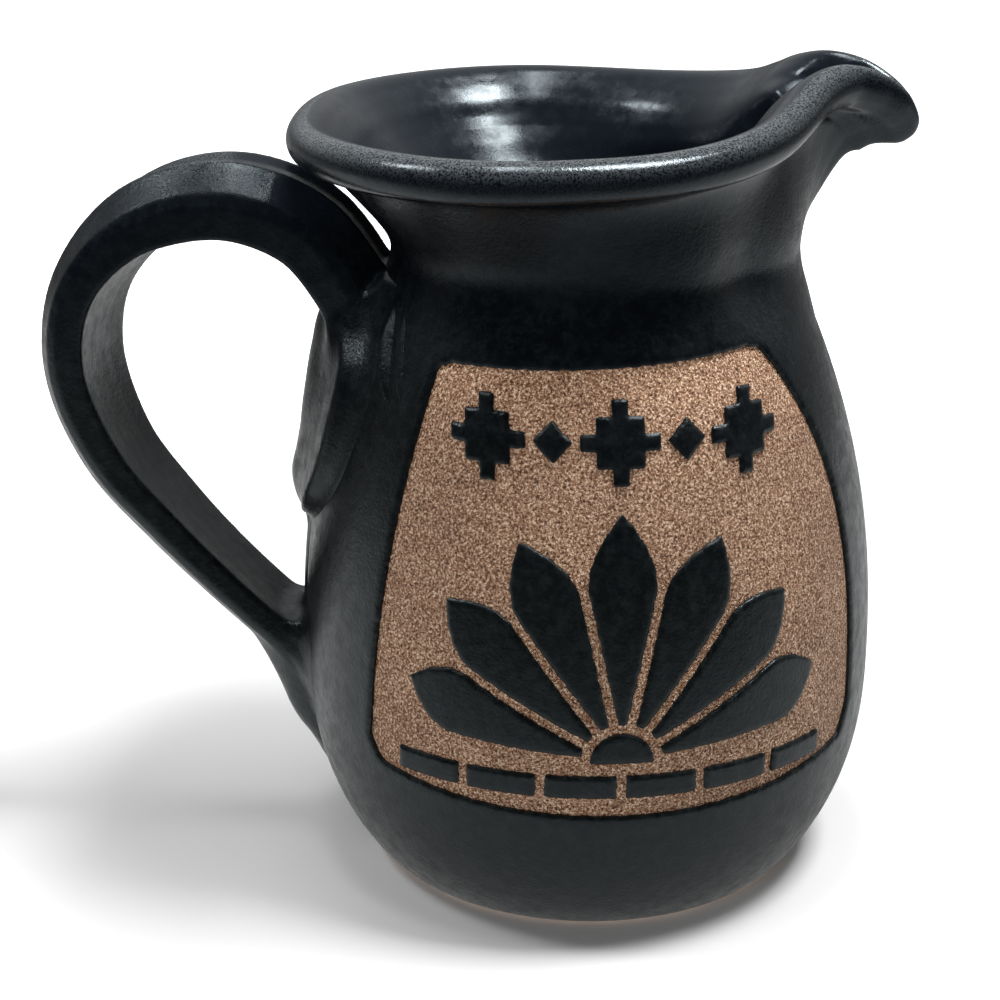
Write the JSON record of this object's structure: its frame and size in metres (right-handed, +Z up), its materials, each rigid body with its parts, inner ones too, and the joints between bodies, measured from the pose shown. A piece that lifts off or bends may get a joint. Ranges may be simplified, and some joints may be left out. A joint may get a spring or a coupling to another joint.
{
  "type": "pitcher",
  "caption": "Black-glazed stoneware pitcher with a pulled spout, a strap handle and a brown sandblasted panel with a raised leaf fan, blocks and lozenges.",
  "frame": {"origin": "centre of the flat foot, on the table plane", "axes": "+Z up, +X towards the spout, the handle is on -X, the sandblasted panel faces -Y"},
  "size_m": [0.1846, 0.1249, 0.1755],
  "materials": {
    "clay": "sandblasted matte brown stoneware",
    "glaze": "satin black",
    "liner": "satin blue-black"
  },
  "bodies": {
    "root": {"vessel_clay": "clay", "handle_clay": "clay", "liner_glaze": "liner", "outer_glaze": "glaze", "handle_glaze": "glaze", "leaf_1": "glaze", "leaf_2": "glaze", "leaf_3": "glaze", "leaf_4": "glaze", "leaf_5": "glaze", "leaf_6": "glaze", "leaf_7": "glaze", "fan_heart": "glaze", "block_1": "glaze", "block_2": "glaze", "block_3": "glaze", "block_4": "glaze", "block_5": "glaze", "block_6": "glaze", "lozenge_1": "glaze", "lozenge_2": "glaze", "lozenge_3": "glaze", "stud_1": "glaze", "stud_2": "glaze"}
  },
  "joints": []
}
